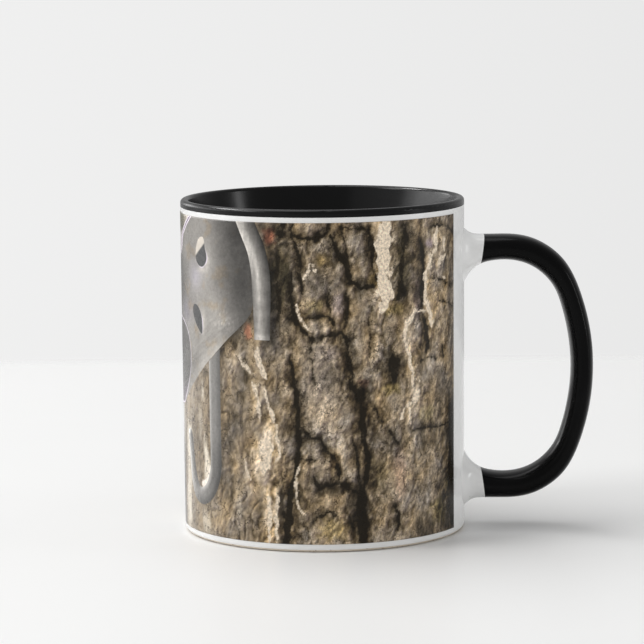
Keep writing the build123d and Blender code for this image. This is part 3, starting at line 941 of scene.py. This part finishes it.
GLAZES = {  # colour, colour where it pools, gloss, and the least and greatest roughness
    "white_gloss_glaze": ((0.83, 0.83, 0.82), (0.86, 0.86, 0.855), 0.4, 0.10, 0.16),
    "black_liner_gloss": ((0.0014, 0.0014, 0.0015), (0.0024, 0.0024, 0.0026), 0.18, 0.20, 0.27),
    "black_handle_gloss": ((0.0024, 0.0024, 0.0025), (0.0038, 0.0038, 0.0040), 0.07, 0.18, 0.24),
}
RIPPLE = 0.00003  # how deep the glaze ripples, in metres


def glaze_material(name):
    """Fired gloss glaze: faint pooling in its colour, a soft ripple and rare pinholes, darkened with
    painted shade.
    """
    colour, pooled, gloss, rough_low, rough_high = GLAZES[name]
    g = Graph(name)
    place = g.object_place()
    pool = g.noise(place, 60.0, 3.0, 0.5)
    base = g.mix(g.ramp(pool, 0.35, 0.7), colour, pooled)
    pits = g.node("ShaderNodeTexVoronoi")
    g.link(place, pits.inputs["Vector"])
    pits.inputs["Scale"].default_value = 140.0
    pit = g.ramp(pits.outputs["Distance"], 0.012, 0.030)
    # Painted shade: the pinholes are darkened to 0.55 of the glaze colour.
    g.link(g.mix(pit, tuple(0.55 * c for c in colour), base), g.shader.inputs["Base Color"])
    roughness = g.ramp(g.noise(place, 110.0, 2.0), 0.3, 0.7, rough_low, rough_high)
    g.link(roughness, g.shader.inputs["Roughness"])
    g.shader.inputs["Specular IOR Level"].default_value = gloss
    surface = g.math("MULTIPLY_ADD", pit, 0.4, g.noise(place, 170.0, 2.0))
    g.bump(surface, RIPPLE, 0.6)
    return g.material


def clay_material():
    """Bare stoneware: matt, warm, with iron specks and fine grit."""
    g = Graph("bare_stoneware")
    place = g.object_place()
    body = g.mix(g.noise(place, 90.0, 4.0, 0.6), (0.62, 0.54, 0.44), (0.78, 0.71, 0.61))
    specks = g.node("ShaderNodeTexVoronoi")
    g.link(place, specks.inputs["Vector"])
    specks.inputs["Scale"].default_value = 900.0
    iron = g.ramp(specks.outputs["Distance"], 0.10, 0.22)
    g.link(g.mix(iron, (0.26, 0.17, 0.11), body), g.shader.inputs["Base Color"])
    g.link(g.ramp(g.noise(place, 700.0), 0.2, 0.8, 0.72, 0.92), g.shader.inputs["Roughness"])
    g.bump(g.noise(place, 2500.0, 3.0, 0.7), 0.00008, 0.8)
    return g.material


def dress_frame():
    """Gives the CAD nodes their materials; the nodes not named here are bare clay."""
    white = glaze_material("white_gloss_glaze")
    looks = {
        "white_outer_glaze": white,
        "white_base_glaze": white,
        "black_liner_glaze": glaze_material("black_liner_gloss"),
        "black_handle_glaze": glaze_material("black_handle_gloss"),
    }
    clay = clay_material()
    for node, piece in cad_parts.items():
        for slot in piece.material_slots:
            slot.material = looks.get(node, clay)


# --- Stage, lights and camera -----------------------------------------------------------------


def make_floor():
    """A plain pale table top whose far and side edges melt into the backdrop."""
    mesh = bpy.data.meshes.new("table_top")
    corners = [(-FLOOR_SIDE, FLOOR_NEAR, 0), (FLOOR_SIDE, FLOOR_NEAR, 0)]
    corners += [(FLOOR_SIDE, FLOOR_EDGE, 0), (-FLOOR_SIDE, FLOOR_EDGE, 0)]
    mesh.from_pydata(corners, [], [(0, 1, 2, 3)])
    floor = bpy.data.objects.new("table_top", mesh)
    bpy.context.scene.collection.objects.link(floor)
    g = Graph("pale_table_top")
    place = g.object_place()
    colour = g.mix(g.noise(place, 9.0, 4.0), *FLOOR_COLOURS)
    g.link(colour, g.shader.inputs["Base Color"])
    g.shader.inputs["Roughness"].default_value = FLOOR_ROUGHNESS
    clear = g.node("ShaderNodeBsdfTransparent")
    split = g.node("ShaderNodeSeparateXYZ")
    g.link(place, split.inputs[0])
    far_fade = g.ramp(split.outputs["Y"], FLOOR_EDGE - 2 * FLOOR_FADE, FLOOR_EDGE)
    across = g.math("ABSOLUTE", split.outputs["X"])
    fade = g.math("MAXIMUM", far_fade, g.ramp(across, FLOOR_SIDE - FLOOR_SIDE_FADE, FLOOR_SIDE))
    blend = g.node("ShaderNodeMixShader")
    g.link(fade, blend.inputs[0])
    g.link(g.shader.outputs[0], blend.inputs[1])
    g.link(clear.outputs[0], blend.inputs[2])
    g.link(blend.outputs[0], g.output.inputs["Surface"])
    mesh.materials.append(g.material)


def make_backdrop():
    """A pale room that only the camera sees, so that it adds no light of its own; its glow is painted
    light, lighter on the left than on the right.
    """
    far = BACKDROP_DISTANCE
    square = ((-far, -far), (far, -far), (far, far), (-far, far))
    corners = [(x, y, z) for z in (-far, far) for x, y in square]
    sides = [(k, (k + 1) % 4, (k + 1) % 4 + 4, k + 4) for k in range(4)]
    mesh = bpy.data.meshes.new("backdrop")
    mesh.from_pydata(corners, [], [(3, 2, 1, 0), (4, 5, 6, 7), *sides])
    room = bpy.data.objects.new("backdrop", mesh)
    bpy.context.scene.collection.objects.link(room)
    g = Graph("pale_backdrop")
    split = g.node("ShaderNodeSeparateXYZ")
    g.link(g.object_place(), split.inputs[0])
    across = g.ramp(split.outputs["X"], -BACKDROP_BLEND, BACKDROP_BLEND, smooth=False)
    glow = g.node("ShaderNodeEmission")
    # Painted light: the glow fades from the lit left to the shaded right.
    g.link(g.mix(across, BACKDROP_LIT_LEFT, BACKDROP_SHADED_RIGHT), glow.inputs["Color"])
    g.link(glow.outputs[0], g.output.inputs["Surface"])
    mesh.materials.append(g.material)
    room.visible_diffuse = room.visible_glossy = room.visible_shadow = False
    room.visible_transmission = room.visible_volume_scatter = False


def area_light(name, place, target, size, power, only_gloss):
    """A rectangular panel turned towards its target; the camera doesn't see it."""
    data = bpy.data.lights.new(name, "AREA")
    data.shape = "RECTANGLE"
    data.size, data.size_y = size
    data.energy = power
    light = bpy.data.objects.new(name, data)
    light.location = place
    light.visible_camera = False
    light.visible_diffuse = not only_gloss
    aim = Vector(target) - Vector(place)
    light.rotation_euler = aim.to_track_quat("-Z", "Y").to_euler()
    bpy.context.scene.collection.objects.link(light)


def make_lights():
    """The soft studio light: the panels, and an even glow from all round."""
    for light in LIGHTS:
        area_light(*light)
    world = bpy.data.worlds.new("studio")
    bpy.context.scene.world = world
    world.use_nodes = True
    background_node = world.node_tree.nodes["Background"]
    background_node.inputs["Color"].default_value = (1, 1, 1, 1)
    background_node.inputs["Strength"].default_value = WORLD_STRENGTH
    bpy.context.scene.view_settings.view_transform = "Standard"


def make_camera():
    """A long lens, tilted down at the mug."""
    data = bpy.data.cameras.new("camera")
    data.lens = CAMERA_LENS
    data.sensor_width = CAMERA_SENSOR
    data.clip_start, data.clip_end = 0.05, 50.0
    camera = bpy.data.objects.new("camera", data)
    tilt = Matrix.Rotation(math.pi / 2 - CAMERA_TILT, 4, "X")
    roll = Matrix.Rotation(CAMERA_ROLL, 4, "Z")
    turn = Matrix.Rotation(CAMERA_TURN, 4, "Z")
    camera.matrix_world = Matrix.Translation(CAMERA_PLACE) @ turn @ tilt @ roll
    bpy.context.scene.collection.objects.link(camera)
    bpy.context.scene.camera = camera


make_floor()
make_backdrop()
make_lights()
make_camera()
dress_frame()
make_print()
